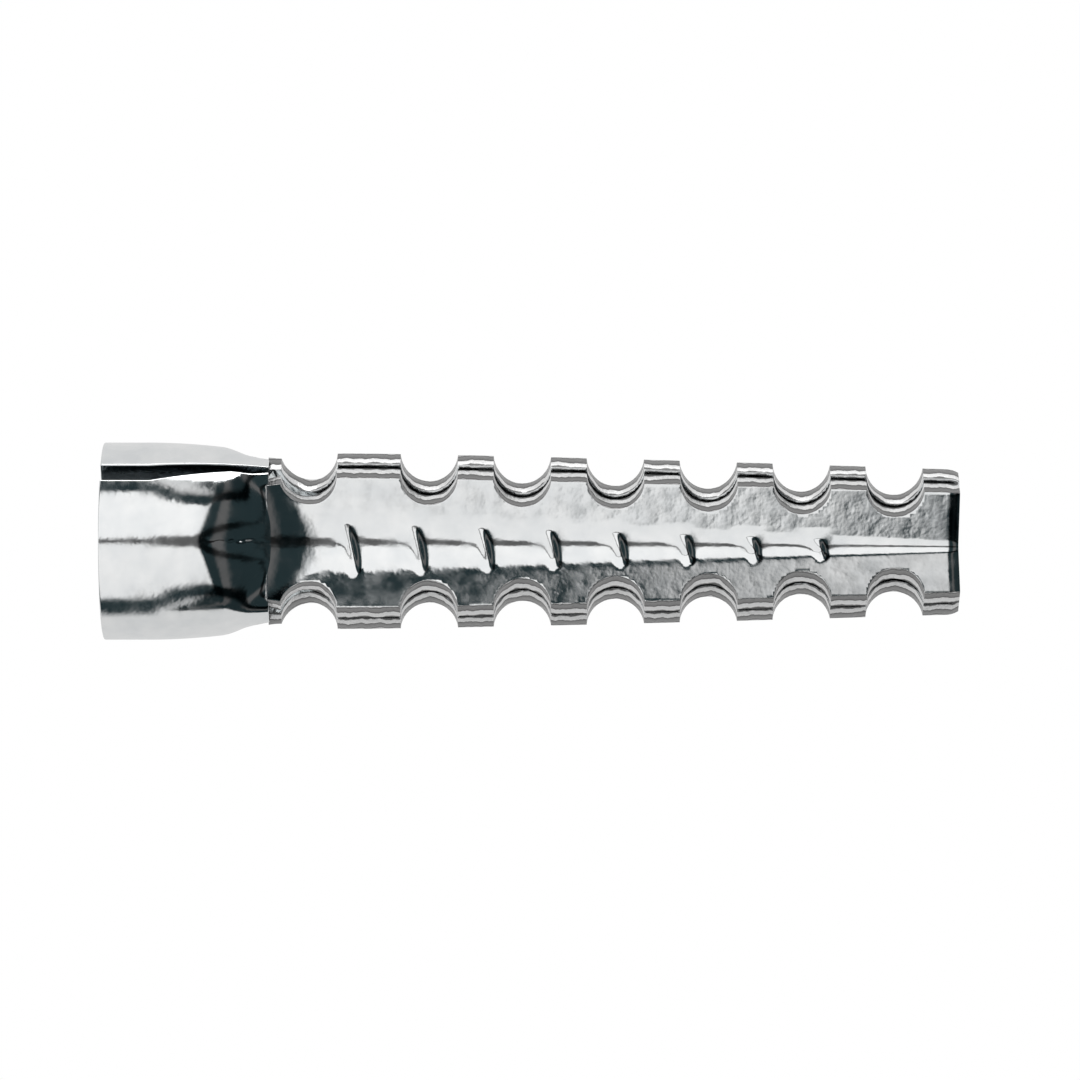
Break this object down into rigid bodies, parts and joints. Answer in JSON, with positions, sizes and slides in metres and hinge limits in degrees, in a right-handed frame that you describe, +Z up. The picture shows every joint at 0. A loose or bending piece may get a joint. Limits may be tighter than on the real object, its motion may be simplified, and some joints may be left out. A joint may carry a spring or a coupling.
{
  "type": "metal wall anchor",
  "caption": "Sheet-steel expansion anchor: a rolled split sleeve with toothed V-folded legs that spread as a screw is driven in.",
  "frame": {"origin": "centre of the sleeve's open mouth, on the anchor's axis, where it lies in its drilled hole", "axes": "+X along the axis from the mouth to the leg tips, -Y toward the front leg's face, +Z up"},
  "size_m": [0.038, 0.0088, 0.0088],
  "materials": {
    "zinc_plate": "bright zinc plating on sheet steel"
  },
  "bodies": {
    "sleeve": {"head_sleeve": "zinc_plate"},
    "front": {"front_leg": "zinc_plate"},
    "upper_rear": {"upper_rear_leg": "zinc_plate"},
    "lower_rear": {"lower_rear_leg": "zinc_plate"}
  },
  "joints": [
    {"name": "front_leg_spread", "type": "hinge", "parent": "sleeve", "child": "front", "pos_m": [0.00735, -0.0025, 0], "axis": [0, 0, -1], "range_deg": [0, 4]},
    {"name": "upper_rear_leg_spread", "type": "hinge", "parent": "sleeve", "child": "upper_rear", "pos_m": [0.00735, 0.00125, 0.00216], "axis": [0, -0.866, 0.5], "range_deg": [0, 4]},
    {"name": "lower_rear_leg_spread", "type": "hinge", "parent": "sleeve", "child": "lower_rear", "pos_m": [0.00735, 0.00125, -0.00216], "axis": [0, 0.866, 0.5], "range_deg": [0, 4]}
  ],
  "couplings": [
    {"joint": "upper_rear_leg_spread", "follows": "front_leg_spread", "ratio": 1},
    {"joint": "lower_rear_leg_spread", "follows": "front_leg_spread", "ratio": 1}
  ]
}
